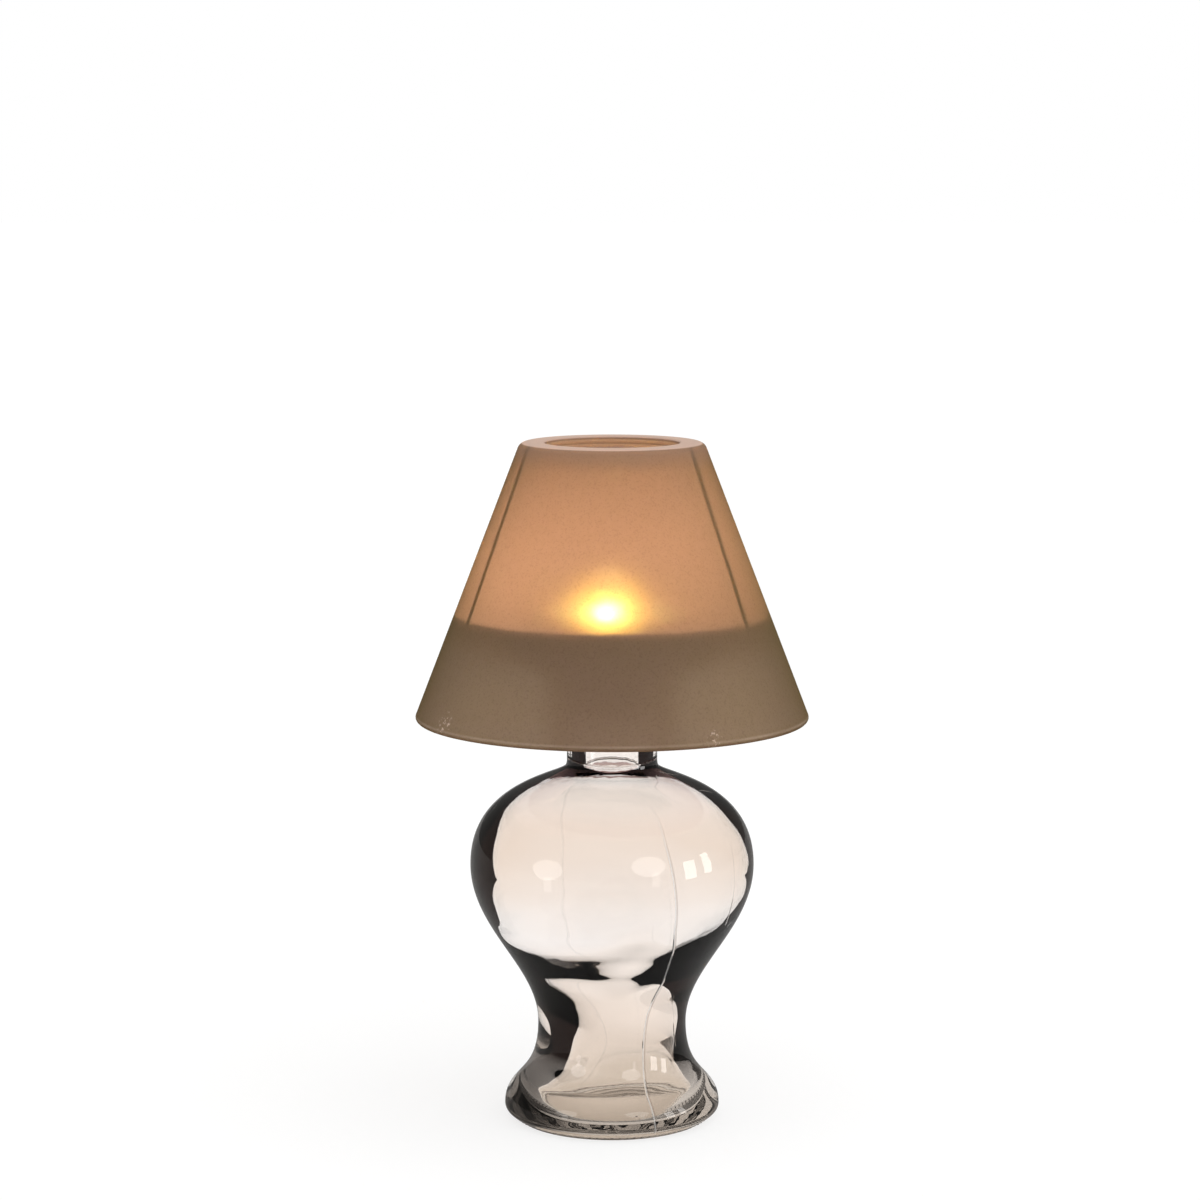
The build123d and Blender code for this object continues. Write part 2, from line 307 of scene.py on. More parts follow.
# Flame. Its lights are (height, power), and its colours and powers go by the share of its height
flame_low = 164.6
flame_high = 181.5
flame_radius = 3.3
flame_lean = -0.7
flame_lean_rise = 6.0
flame_rows = 26
flame_segments = 32
flame_belly = 0.72
flame_roundness = 0.9
flame_taper = 0.35
flame_strength = 60.0
flame_edge_blend = 0.35
flame_edge_share = 0.8
flame_colours = [
    (0.0, (0.15, 0.2, 0.9)), (0.14, (0.6, 0.36, 0.3)), (0.3, (1.0, 0.6, 0.22)),
    (0.7, (1.0, 0.56, 0.18)), (1.0, (1.0, 0.36, 0.06)),
]
flame_powers = [(0.0, 0.02), (0.16, 0.1), (0.34, 1.0), (0.8, 0.8), (1.0, 0.25)]
flame_lights = [(167.0, 0.148), (173.5, 0.02), (179.0, 0.003)]
flame_light_colour = (1.0, 0.76, 0.34)
flame_light_radius = 2.4

# Wax and wick
pool_height = 162.5
pool_radius = 13.5
pool_edge_radius = 15.0
wick_low = 163.2
wick_length = 6.0
ember_low = 168.6
ember_high = 169.2

# Studio: how bright the surroundings are as fill light and in reflections, and the floor's paper as
# other surfaces see it, as the camera sees it, and what it glows then and more through glass
fill_colour = (1.0, 0.99, 0.97)
fill_light = 0.5
fill_reflected = 0.12
paper_colour = (0.8, 0.8, 0.8)
paper_seen_colour = (0.3, 0.3, 0.3)
paper_glow = 0.73
paper_glow_in_glass = 0.1
floor_width = 24000.0
sun_place = (500.0, -700.0, 2000.0)
sun_power = 1.7
sun_angle = 70.0

# Lamps that only show as reflections: shape, place, width, height and brightness
reflected_lamps = [
    ("RECTANGLE", (520.0, -260.0, 155.0), 110.0, 190.0, 6.0),
    ("RECTANGLE", (600.0, -100.0, 185.0), 90.0, 210.0, 6.0),
    ("ELLIPSE", (-188.0, -162.0, 125.0), 105.0, 95.0, 2.0),
    ("ELLIPSE", (118.0, -224.0, 165.0), 120.0, 115.0, 2.0),
    ("RECTANGLE", (-186.0, -166.0, 62.0), 26.0, 60.0, 1.6),
    ("RECTANGLE", (132.0, -214.0, 92.0), 26.0, 60.0, 1.6),
]


class Finish:
    """The nodes of a material or of the world, being put together."""

    def __init__(self, name, world=False):
        self.made = bpy.data.worlds.new(name) if world else bpy.data.materials.new(name)
        self.made.use_nodes = True
        self.tree = self.made.node_tree
        self.tree.nodes.clear()
        self.output = self.tree.nodes.new("ShaderNodeOutput" + ("World" if world else "Material"))

    def node(self, kind, settings=None, **inputs):
        """A node with its settings and sockets filled in. A socket as value is linked."""
        made = self.tree.nodes.new("ShaderNode" + kind)
        for key, value in (settings or {}).items():
            setattr(made, key, value)
        for key, value in inputs.items():
            self.feed(made.inputs[self.socket_name(key)], value)
        return made

    def socket_name(self, key):
        """The socket that a keyword stands for: in_0 is the first, and Base_Color is Base Color."""
        if key.startswith("in_"):
            return int(key[3:])
        return key.replace("_", " ")

    def feed(self, socket, value):
        if isinstance(value, bpy.types.NodeSocket):
            self.tree.links.new(value, socket)
        elif isinstance(value, tuple) and len(value) == 3 and socket.type == "RGBA":
            socket.default_value = (*value, 1.0)
        else:
            socket.default_value = value

    def maths(self, operation, a, b=0.0, clamp=False):
        made = self.node("Math", {"operation": operation, "use_clamp": clamp}, in_0=a, in_1=b)
        return made.outputs[0]

    def product(self, first, *others):
        for other in others:
            first = self.maths("MULTIPLY", first, other)
        return first

    def most(self, first, *others):
        for other in others:
            first = self.maths("MAXIMUM", first, other)
        return first

    def without(self, value, clamp=False):
        """1 less the value."""
        return self.maths("SUBTRACT", 1.0, value, clamp)

    def rise(self, value, start, slope):
        """0 up to the start, and then climbing by the slope to 1."""
        return self.maths("MULTIPLY", self.maths("SUBTRACT", value, start), slope, clamp=True)

    def ridge(self, distance, width):
        """A line with soft sides, nearly 1 where the distance is 0 and 0 from the width on."""
        away = self.maths("ABSOLUTE", distance)
        near = self.without(self.maths("DIVIDE", away, width), clamp=True)
        return self.maths("SMOOTH_MIN", near, 1.0)

    def ramp(self, value, stops):
        """A colour ramp through (place, colour) stops."""
        made = self.node("ValToRGB", Fac=value)
        made.color_ramp.elements[0].position = stops[0][0]
        made.color_ramp.elements[0].color = (*stops[0][1], 1.0)
        made.color_ramp.elements[1].position = stops[-1][0]
        made.color_ramp.elements[1].color = (*stops[-1][1], 1.0)
        for place, colour in stops[1:-1]:
            made.color_ramp.elements.new(place).color = (*colour, 1.0)
        return made.outputs[0]

    def shares(self, value, stops):
        """A ramp of plain shares through (place, share) stops."""
        return self.ramp(value, [(place, (share, share, share)) for place, share in stops])

    def mix_colour(self, factor, a, b, blend="MIX"):
        settings = {"data_type": "RGBA", "blend_type": blend}
        made = self.node("Mix", settings, in_0=factor, in_6=a, in_7=b)
        return made.outputs[2]

    def dimmed(self, colour, *shares):
        for share in shares:
            colour = self.mix_colour(1.0, colour, share, "MULTIPLY")
        return colour

    def position(self, scale=(1.0, 1.0, 1.0)):
        """The object's own coordinates, stretched."""
        coordinates = self.node("TexCoord").outputs["Object"]
        return self.node("Mapping", Vector=coordinates, Scale=scale).outputs[0]

    def parts(self, place):
        """The x, y and z of a place."""
        return self.node("SeparateXYZ", Vector=place).outputs

    def from_axis(self, place):
        """How far a place is from the upright axis."""
        x, y = self.parts(place)[:2]
        flat = self.node("CombineXYZ", X=x, Y=y).outputs[0]
        return self.node("VectorMath", {"operation": "LENGTH"}, in_0=flat).outputs["Value"]

    def attribute(self, name):
        return self.node("Attribute", {"attribute_name": name}).outputs["Fac"]

    def noise(self, place, scale, detail=3.0, roughness=0.5):
        made = self.node("TexNoise", Vector=place, Scale=scale, Detail=detail, Roughness=roughness)
        return made.outputs[0]

    def bump(self, height, distance, normal=None):
        """A bump as deep as the distance, in millimetres, on top of another one."""
        made = self.node("Bump", Height=height, Distance=distance * MM, Strength=1.0)
        if normal is not None:
            self.feed(made.inputs["Normal"], normal)
        return made.outputs[0]

    def shader(self, kind, **inputs):
        return self.node("Bsdf" + kind, **inputs).outputs[0]

    def mix_shader(self, factor, a, b):
        return self.node("MixShader", in_0=factor, in_1=a, in_2=b).outputs[0]

    def add_shaders(self, first, *others):
        for other in others:
            first = self.node("AddShader", in_0=first, in_1=other).outputs[0]
        return first

    def surface(self, shader):
        self.feed(self.output.inputs["Surface"], shader)
        return self.made


def clamped(value):
    return min(1.0, max(0.0, value))


def bezier(points, steps):
    """Points along a Bezier of any order, without its first one."""
    found = []
    for step in range(1, steps + 1):
        share = step / steps
        left = [Vector(point) for point in points]
        while len(left) > 1:
            left = [a.lerp(b, share) for a, b in zip(left, left[1:])]
        found.append(tuple(left[0]))
    return found


def line(start, end, steps):
    return bezier([start, end], steps)


def swelling(start, start_hold, end, end_hold, steps):
    """From one upright place of the outline to the next."""
    rise = end[1] - start[1]
    leave = (start[0], start[1] + start_hold * rise)
    arrive = (end[0], end[1] - end_hold * rise)
    return bezier([start, leave, arrive, end], steps)


def shoulder(belly, end, steps):
    """From the belly up to the neck's root."""
    leave = (belly[0], belly[1] + belly_hold_above * (end[1] - belly[1]))
    out = shoulder_hold * cos(radians(shoulder_angle))
    down = shoulder_hold * sin(radians(shoulder_angle))
    return bezier([belly, leave, (end[0] + out, end[1] - down), end], steps)


def neck_turn(end, radius, rise, steps):
    """From the neck's root into its upright wall."""
    corner = (radius, end[1] + (end[0] - radius) * tan(radians(shoulder_angle)))
    return bezier([end, corner, (radius, end[1] + rise)], steps)


def glass_outside():
    """Outline from the middle of the foot's underside up to the mouth, in (radius, height)."""
    under_radius = heel_radius - heel_ledge - knurl_depth - bearing_width
    bearing = heel_radius - heel_ledge - knurl_depth / 2
    under_top = (0.0, knurl_height + push_up)
    under_edge = (under_radius, knurl_height)
    ring_in = (under_radius + bearing_inner_chamfer, 0.0)
    ring_out = (bearing - bearing_outer_chamfer, 0.0)
    knurl_low = (bearing, knurl_low_chamfer)
    knurl_high = (bearing, knurl_height - knurl_high_chamfer)
    heel = (heel_radius, knurl_height)
    foot = (foot_radius, foot_height)
    waist = (waist_radius, waist_height)
    belly = (belly_radius, belly_height)
    root = (neck_radius + neck_blend, neck_root_height)
    heel_run = (foot_radius - heel_radius) / 2
    heel_out = (heel_radius + heel_run, knurl_height + heel_run * tan(radians(heel_angle)))
    foot_down = (foot_radius, (foot_height + knurl_height) / 2)
    neck_low = (neck_radius, neck_root_height + neck_blend_rise)
    bead_low = (neck_radius, mouth_height - mouth_bead_height)
    bead_out = (neck_radius + 2 * mouth_bead_reach, mouth_height - mouth_bead_height / 2)
    outline = [under_top]
    outline += bezier([under_top, (under_radius / 2, under_top[1]), under_edge], 12)
    outline += line(under_edge, ring_in, 2)
    outline += line(ring_in, ring_out, 3)
    outline += line(ring_out, knurl_low, 1)
    outline += line(knurl_low, knurl_high, 1)
    outline += line(knurl_high, heel, 1)
    outline += bezier([heel, heel_out, foot_down, foot], 10)
    outline += swelling(foot, foot_hold, waist, waist_hold_below, 26)
    outline += swelling(waist, waist_hold_above, belly, belly_hold_below, 40)
    outline += shoulder(belly, root, 36)
    outline += neck_turn(root, neck_radius, neck_blend_rise, 6)
    outline += line(neck_low, bead_low, 16)
    outline += bezier([bead_low, bead_out, (neck_radius, mouth_height)], 10)
    return outline


def glass_inside():
    """Outline from the mouth through the bore and down to the middle of the well's floor."""
    slope = radians(shoulder_angle)
    bore = neck_radius - neck_wall
    low_bore = neck_radius - neck_bead_wall
    well = (cavity_radius[0][1], cavity_radius[0][0])
    belly = (cavity_radius[-1][1], cavity_radius[-1][0])
    offset_radius = neck_radius + neck_blend - shoulder_wall * sin(slope)
    offset_height = neck_root_height - shoulder_wall * cos(slope)
    end_radius = low_bore + bore_blend
    end = (end_radius, offset_height + (offset_radius - end_radius) * tan(slope))
    floor_edge = (well_flat_radius, bottom_thickness)
    neck_foot = (low_bore, end[1] + bore_blend_rise)
    change = neck_foot[1] + bore_change
    bore_start = (bore, neck_foot[1] + bore_change_end)
    outline = [(0.0, bottom_thickness)]
    outline += line((0.0, bottom_thickness), floor_edge, 8)
    outline += bezier([floor_edge, (well[0], bottom_thickness), well], 10)
    for step in range(1, cavity_rows + 1):
        height = well[1] + (belly[1] - well[1]) * step / cavity_rows
        outline.append((through(cavity_radius, height), height))
    outline += shoulder(belly, end, 30)
    outline += neck_turn(end, low_bore, bore_blend_rise, 6)
    outline += bezier([neck_foot, (low_bore, change), (bore, change), bore_start], 12)
    outline += line(outline[-1], (bore, mouth_height), 8)
    outline.reverse()
    return outline


def through(steps, place):
    """The value at a place of the smooth curve through (place, value) steps."""
    if place <= steps[0][0]:
        return steps[0][1]
    if place >= steps[-1][0]:
        return steps[-1][1]
    number = max(index for index, step in enumerate(steps[:-1]) if step[0] <= place)
    low, high = steps[number], steps[number + 1]
    before, after = steps[max(0, number - 1)], steps[min(len(steps) - 1, number + 2)]
    width = high[0] - low[0]
    share = (place - low[0]) / width
    leave = (high[1] - before[1]) / (high[0] - before[0]) * width
    arrive = (after[1] - low[1]) / (after[0] - low[0]) * width
    value = (2 * share**3 - 3 * share**2 + 1) * low[1] + (share**3 - 2 * share**2 + share) * leave
    return value + (3 * share**2 - 2 * share**3) * high[1] + (share**3 - share**2) * arrive


def plain_point(radius, height, turn):
    return radius * cos(turn), radius * sin(turn), height


def outer_point(radius, height, turn):
    """The outside is round, apart from the knurling under the heel."""
    if height < knurl_height and radius > heel_radius - heel_ledge - knurl_depth:
        radius += knurl_depth / 2 * cos(knurl_count * turn)
    return plain_point(radius, height, turn)


def inner_point(radius, height, turn):
    """The cavity is blown, so its wall waves and bulges a little, and its axis leans."""
    around = (cos(turn) * cavity_wave_turns, sin(turn) * cavity_wave_turns)
    place = Vector((*around, height / cavity_wave_height))
    fade = clamped((neck_root_height - height) / cavity_fade) * min(1.0, radius / cavity_fade)
    radius += noise.noise(place) * cavity_wave * fade
    above = (height - flare_ease_height) / flare_ease_reach
    for ease, middle, spread in flare_eases:
        beside = (degrees(turn) - front_turn - middle) / spread
        radius -= ease * above * exp(-above**2 - beside**2)
    if cos(turn) < 0.0:
        rise = (height - left_swell_height) / left_swell_reach
        radius += left_swell * cos(turn)**left_swell_power * exp(-rise**2)
    x, y, z = plain_point(radius, height, turn)
    return x + through(cavity_lean, height) * fade, y, z


def flame_point(radius, height, turn):
    x, y, z = plain_point(radius, height, turn)
    return x + flame_lean * min(1.0, (height - flame_low) / flame_lean_rise), y, z


def spun(name, rows, segments, marks=None):
    """A surface of revolution. Each row is (point function, radius, height), and a row on the axis
    is a pole. marks names mesh attributes, each with the function of (point function, x, y, z)
    that fills it."""
    mesh = bmesh.new()
    layers = {mark: mesh.verts.layers.float.new(mark) for mark in (marks or {})}
    rings = []
    for place, radius, height in rows:
        count = 1 if radius == 0.0 else segments
        ring = []
        for step in range(count):
            x, y, z = place(radius, height, 2 * pi * step / segments)
            vertex = mesh.verts.new((x * MM, y * MM, z * MM))
            for mark, layer in layers.items():
                vertex[layer] = marks[mark](place, x, y, z)
            ring.append(vertex)
        rings.append(ring)
    for low, high in zip(rings, rings[1:]):
        for number in range(segments):
            following = (number + 1) % segments
            corners = [low[number % len(low)], low[following % len(low)]]
            corners += [high[following % len(high)], high[number % len(high)]]
            unique = list(dict.fromkeys(corners))
            if len(unique) > 2:
                mesh.faces.new(unique)
    bmesh.ops.recalc_face_normals(mesh, faces=mesh.faces)
    data = bpy.data.meshes.new(name)
    mesh.to_mesh(data)
    mesh.free()
    for polygon in data.polygons:
        polygon.use_smooth = True
    made = bpy.data.objects.new(name, data)
    bpy.context.scene.collection.objects.link(made)
    return made


def filleted(points, radii, steps):
    """The closed outline through these points with its corners rounded."""
    outline = []
    for number, (point, radius) in enumerate(zip(points, radii)):
        corner = Vector(point)
        back = (Vector(points[number - 1]) - corner).normalized()
        ahead = (Vector(points[(number + 1) % len(points)]) - corner).normalized()
        half = back.angle(ahead) / 2
        run = radius / tan(half)
        centre = corner + (back + ahead).normalized() * (radius / sin(half))
        start = corner + back * run - centre
        end = corner + ahead * run - centre
        for step in range(steps + 1):
            spoke = start.lerp(end, step / steps).normalized() * radius
            outline.append(tuple(centre + spoke))
    return outline


def outer_skin(place, x, y, z):
    """1 on the outside of the glass, and 0 in its cavity."""
    return 1.0 if place is outer_point else 0.0


def painted_shade_depth(place, x, y, z):
    """How much painted shade darkens the glass where light is caught in the wall."""
    if z < knurl_height + band_knurl_rise and (x * x + y * y)**0.5 > heel_radius - band_knurl_width:
        return band_knurl
    share = clamped((z - foot_height) / (band_full_share * (waist_height - foot_height)))
    foot = band_foot + band_foot_left * clamped((-x - band_left_start) / band_left_width)
    return foot + (1 - foot) * share


def clear_glass():
    """Glass with painted shade where light is caught inside the wall, and a faint warm tint
    elsewhere that is partly painted warm light.
    """
    finish = Finish("clear_glass")
    normal, seam, painted_line_shade = glass_marks(finish)
    height = finish.parts(finish.position())[2]
    painted_warmth = finish.shares(finish.maths("DIVIDE", height, painted_warmth_height * MM), painted_warmth_share)
    foot = finish.shares(finish.maths("DIVIDE", height, foot_tint_height * MM), foot_tint_share)
    edge_tone = finish.shares(finish.maths("DIVIDE", height, foot_bottom_height * MM), foot_bottom_share)
    caught = finish.node("Fresnel", IOR=glass_ior).outputs[0]
    wholly = finish.rise(caught, caught_start, caught_slope)
    # Painted shade: the glass darkens where light is caught in its wall
    painted_shade_amount = finish.product(wholly, finish.attribute("painted_shade_band"))
    # Partly painted warm light: the glass is tinted warmer or cooler by height
    tint = finish.mix_colour(painted_warmth, cool_tint, glass_and_painted_warm_tint)
    tint = finish.mix_colour(foot, tint, foot_tint)
    tint = finish.mix_colour(edge_tone, tint, foot_bottom_tint)
    tint = finish.mix_colour(caught, tint, WHITE)
    # Painted highlight: the seam loses the tint, and below it gets a pale diffuse line
    tint = finish.mix_colour(seam, tint, WHITE)
    # Painted shade along the seam's side, the parting line, its cross and the wrinkles
    tint = finish.mix_colour(painted_line_shade, tint, painted_line_shade_tint)
    tint = finish.mix_colour(painted_shade_amount, tint, painted_shade_tint)
    glass = finish.shader("Glass", Color=tint, Roughness=0.0, IOR=glass_ior, Normal=normal)
    seam_highlight = finish.shader("Diffuse", Color=seam_highlight_colour)
    glass = finish.mix_shader(finish.product(seam, seam_highlight_cover), glass, seam_highlight)
    clear = finish.shader("Transparent", Color=glass_shadow)
    shadow = finish.node("LightPath").outputs["Is Shadow Ray"]
    body = finish.node("VolumeAbsorption", Color=glass_body_colour, Density=glass_body_density)
    finish.feed(finish.output.inputs["Volume"], body.outputs[0])
    return finish.surface(finish.mix_shader(shadow, glass, clear))


def glass_marks(finish):
    """The glass's bump, the share of the seam's painted highlight, and the share of the painted
    shade along the seam, parting line, cross and wrinkles.
    """
    place = finish.position()
    x, y, z = finish.parts(place)
    rear = finish.product(finish.maths("GREATER_THAN", y, 0.0), 1.0 - rear_marks_share)
    skin = finish.product(finish.attribute("skin"), finish.without(rear))
    seam, beside = seam_marks(finish, x, y, z, skin)
    parting, cross = neck_marks(finish, x, y, z, skin)
    wrinkle = wrinkles(finish, z, skin)
    streaks = finish.noise(finish.position((1.0, 1.0, 0.1)), 120.0, 2.0)
    waves = finish.noise(place, 50.0, 2.0)
    drawn = finish.noise(finish.position((1.0, 1.0, 0.04)), 420.0, 1.0)
    drawn = finish.product(drawn, finish.rise(z, drawn_start * MM, drawn_slope))
    cells = finish.node("TexVoronoi", Vector=place, Scale=bubble_scale).outputs["Distance"]
    bubbles = finish.ridge(cells, bubble_size)
    normal = finish.bump(streaks, streak_depth)
    normal = finish.bump(waves, wave_depth, normal)
    normal = finish.bump(drawn, drawn_depth, normal)
    normal = finish.bump(seam, seam_depth, normal)
    normal = finish.bump(parting, parting_depth, normal)
    normal = finish.bump(wrinkle, wrinkle_depth, normal)
    normal = finish.bump(bubbles, bubble_depth, normal)
    painted_line_shade = finish.most(beside, finish.product(parting, parting_dark_share), cross)
    return normal, seam, finish.most(painted_line_shade, finish.product(wrinkle, wrinkle_dark_share))


def seam_marks(finish, x, y, z, skin):
    """The mould's seam, which wanders on its way up the front and the back, and the painted shade
    along its side.
    """
    turn = finish.shares(finish.maths("DIVIDE", z, seam_height * MM), seam_turn)
    turn = finish.product(turn, radians(seam_swing))
    across = finish.product(x, finish.maths("COSINE", turn))
    across = finish.maths("ADD", across, finish.product(y, finish.maths("SINE", turn)))
    below_top = finish.without(finish.rise(z, seam_high_end * MM, seam_high_slope))
    above_foot = finish.rise(z, seam_low_end * MM, seam_low_slope)
    reach = finish.product(below_top, above_foot, skin)
    beside = finish.maths("SUBTRACT", across, seam_shade_offset * MM)
    seam = finish.product(finish.ridge(across, seam_width * MM), reach)
    beside = finish.ridge(beside, seam_shade_width * MM)
    return seam, finish.product(beside, reach, seam_shade_share)


def neck_marks(finish, x, y, z, skin):
    """The parting line round the neck, and the small cross at its front, both with painted shade.
    """
    above = finish.maths("SUBTRACT", z, parting_height * MM)
    above = finish.maths("SUBTRACT", above, finish.product(x, x, parting_arc))
    parting = finish.product(finish.ridge(above, parting_width * MM), skin)
    aside = finish.maths("ABSOLUTE", finish.maths("SUBTRACT", x, cross_side * MM))
    over = finish.maths("ABSOLUTE", finish.maths("SUBTRACT", z, cross_height * MM))
    cross = finish.maths("SUBTRACT", aside, finish.product(over, cross_steepness))
    cross = finish.ridge(cross, cross_width * MM)
    near = finish.ridge(aside, cross_reach * MM)
    return parting, finish.product(cross, near, skin, finish.maths("LESS_THAN", y, 0.0))


def wrinkles(finish, z, skin):
    """Fine upright wrinkles, in patches above the foot."""
    folds = finish.noise(finish.position((1.0, 1.0, 0.05)), 60.0, 0.0)
    folds = finish.ridge(finish.maths("SUBTRACT", folds, wrinkle_level), wrinkle_width)
    patches = finish.noise(finish.position((1.0, 1.0, 0.5)), 45.0, 1.0)
    patches = finish.rise(patches, wrinkle_patch_level, wrinkle_patch_slope)
    above_foot = finish.rise(z, wrinkle_start * MM, wrinkle_slope)
    return finish.product(folds, above_foot, skin, patches)


def base():
    rows = [(outer_point, radius, height) for radius, height in glass_outside()]
    rows += [(inner_point, radius, height) for radius, height in glass_inside()]
    marks = {"painted_shade_band": painted_shade_depth, "skin": outer_skin}
    glass = spun("glass_base_blown", rows, glass_segments, marks)
    glass.data.materials.append(clear_glass())
    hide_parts("glass_base")
    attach(glass, "base")


def satin_share(place, x, y, z):
    """1 on the frosted outside and top of the shade, and 0 on its clear inside."""
    if z > flange_under + satin_flange_rise:
        return 1.0
    outside = shade_rim_radius - shade_lean * (z - shade_rim_height)
    depth = outside - (x * x + y * y)**0.5
    return clamped((satin_depth - depth) / satin_blend)


def thick_share(place, x, y, z):
    """1 where the shade's thick top edge lets less light through."""
    return clamped((z - thick_start) / thick_rise)


def painted_top_light_share(place, x, y, z):
    """Painted light: 1 on the flat top of the shade, painted pale as if lit from above, and less on
    the wall of its hole.
    """
    if z > shade_top_height - rim_depth:
        return 1.0
    on_wall = z > flange_under - hole_wall_drop and (x * x + y * y)**0.5 < hole_wall_radius
    return hole_wall_share if on_wall else 0.0


def satin_glass():
    """Clear glass inside, and a frosted taupe coat outside that scatters the flame's light."""
    finish = Finish("frosted_glass")
    place = finish.position()
    thick = finish.attribute("thick")
    grain = finish.noise(place, 2600.0, 2.0, 0.6)
    mottle = finish.noise(place, 420.0, 4.0, 0.65)
    speck = finish.shares(finish.noise(place, 1500.0, 2.0, 0.6), speck_share)
    normal = finish.bump(mottle, 0.04, finish.bump(grain, 0.03))
    slant = finish.node("LayerWeight", Blend=0.5).outputs["Facing"]
    passed = finish.without(finish.product(slant, slant, slant_loss))
    passed = finish.product(passed, finish.without(finish.product(thick, thick_loss)))
    spread = finish.dimmed(finish.mix_colour(mottle, *spread_colours), passed)
    halo_tint = finish.dimmed(halo_colour, speck, passed)
    core_tint = finish.dimmed(core_colour, speck)
    coated = finish.add_shaders(
        finish.shader("Diffuse", Color=coat_colour(finish, place, thick), Roughness=0.3,
                      Normal=normal),
        finish.shader("Anisotropic", Color=coat_sheen, Roughness=0.5, Normal=normal),
        finish.shader("Translucent", Color=spread),
        finish.shader("Refraction", Color=halo_tint, Roughness=halo_roughness, IOR=coat_ior,
                      Normal=normal),
        finish.shader("Refraction", Color=core_tint, Roughness=core_roughness, IOR=coat_ior,
                      Normal=normal))
    shadow = finish.node("LightPath").outputs["Is Shadow Ray"]
    veil = finish.shader("Transparent", Color=coat_shadow)
    coated = finish.mix_shader(shadow, coated, veil)
    clear = finish.shader("Transparent", Color=bare_colour)
    gloss = finish.shader("Anisotropic", Color=WHITE, Roughness=bare_gloss_roughness)
    facing = finish.node("Fresnel", IOR=bare_ior).outputs[0]
    bare = finish.mix_shader(finish.product(facing, finish.without(shadow)), clear, gloss)
    return finish.surface(finish.mix_shader(finish.attribute("satin"), bare, coated))


def coat_colour(finish, place, thick):
    """The frosted coat's colour: cloudy, with painted light making it paler on the top band and the
    flat top, painted shade on the ledge corners, and a painted highlight along the bottom edge with
    pale scuffs above it.
    """
    coat = finish.mix_colour(finish.noise(place, 28.0, 3.0), *coat_colours)
    # Painted light: the coat is paler on the top band and the flat top
    coat = finish.mix_colour(finish.product(thick, 0.6), coat, painted_top_band_colour)
    coat = finish.mix_colour(finish.attribute("rim"), coat, painted_top_light_colour)
    # Painted shade on the ledge corners
    lines = finish.product(painted_ledge_shade(finish, place), ledge_shade_depth)
    coat = finish.dimmed(coat, finish.without(lines))
    return finish.mix_colour(rim_highlight_and_scuffs(finish, place), coat, coat_highlight_and_scuff_colour)


def painted_ledge_shade(finish, place):
    """A line of painted shade on each corner of the ledges in the shade's top hole."""
    height = finish.parts(place)[2]
    within = finish.maths("LESS_THAN", finish.from_axis(place), hole_wall_radius * MM)
    found = 0.0
    for number in range(ledge_count + 1):
        corner = shade_top_height - ledge_height * (number + 0.5)
        away = finish.maths("SUBTRACT", height, corner * MM)
        found = finish.most(found, finish.ridge(away, ledge_shade_width * MM))
    return finish.product(found, within)


def rim_highlight_and_scuffs(finish, place):
    """A painted highlight along the shade's bottom edge, and pale wear in two small scuffs above
    it.
    """
    edge = (shade_rim_height + rim_highlight_rise) * MM
    low = finish.ridge(finish.maths("SUBTRACT", finish.parts(place)[2], edge), rim_highlight_width * MM)
    # Painted highlight: a patchy pale line just above the bottom edge
    patchy = finish.product(finish.noise(place, 60.0, 3.0), rim_highlight_share)
    edge_tone = finish.product(low, patchy)
    chips = finish.rise(finish.noise(place, 700.0, 3.0, 0.7), chip_level, chip_slope)
    for spot, size in scuffs:
        middle = tuple(part * MM for part in spot)
        away = finish.node("VectorMath", {"operation": "DISTANCE"}, in_0=place, in_1=middle)
        near = finish.maths("DIVIDE", away.outputs["Value"], size * MM)
        near = finish.maths("MULTIPLY", finish.without(near, clamp=True), 2.0, clamp=True)
        edge_tone = finish.most(edge_tone, finish.product(near, chips))
    return edge_tone


def shade():
    inner_corner = shade_inside_rim - shade_lean * (flange_under - shade_rim_height)
    points = [(shade_inside_rim, shade_rim_height), (shade_rim_radius, shade_rim_height)]
    points += [(shade_top_radius, shade_top_height), (hole_radius, shade_top_height)]
    radii = [rim_round, rim_round, top_round, hole_round]
    for number in range(ledge_count):
        drop = shade_top_height - ledge_height * (number + 1)
        points.append((hole_radius + ledge_width * number, drop))
        points.append((hole_radius + ledge_width * (number + 1), drop))
        radii += [ledge_round, ledge_round]
    points.append((hole_radius + ledge_width * ledge_count, flange_under))
    points.append((inner_corner, flange_under))
    radii += [flange_edge_round, flange_round]
    corners = filleted(points, radii, 8)
    outline = []
    for start, end in zip(corners, corners[1:] + corners[:1]):
        length = (Vector(end) - Vector(start)).length
        outline += line(start, end, max(1, ceil(length / shade_piece_length)))
    outline.append(outline[0])
    rows = [(plain_point, radius, height) for radius, height in outline]
    marks = {"satin": satin_share, "thick": thick_share, "rim": painted_top_light_share}
    made = spun("shade_glass", rows, shade_segments, marks)
    made.data.materials.append(satin_glass())
    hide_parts("shade")
    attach(made, "shade")


def flame_fire():
    """A glow that is seen straight or through clear glass; the flame lights do the lighting."""
    finish = Finish("flame")
    height = finish.maths("SUBTRACT", finish.parts(finish.position())[2], flame_low * MM)
    up = finish.maths("DIVIDE", height, (flame_high - flame_low) * MM)
    paths = finish.node("LightPath").outputs
    direct = finish.most(paths["Is Camera Ray"], paths["Is Singular Ray"])
    power = finish.product(finish.shares(up, flame_powers), direct, flame_strength)
    glow = finish.node("Emission", Color=finish.ramp(up, flame_colours), Strength=power)
    edge = finish.node("LayerWeight", Blend=flame_edge_blend).outputs["Facing"]
    gone = finish.most(finish.product(edge, flame_edge_share), paths["Is Shadow Ray"])
    return finish.surface(finish.mix_shader(gone, glow.outputs[0], finish.shader("Transparent")))


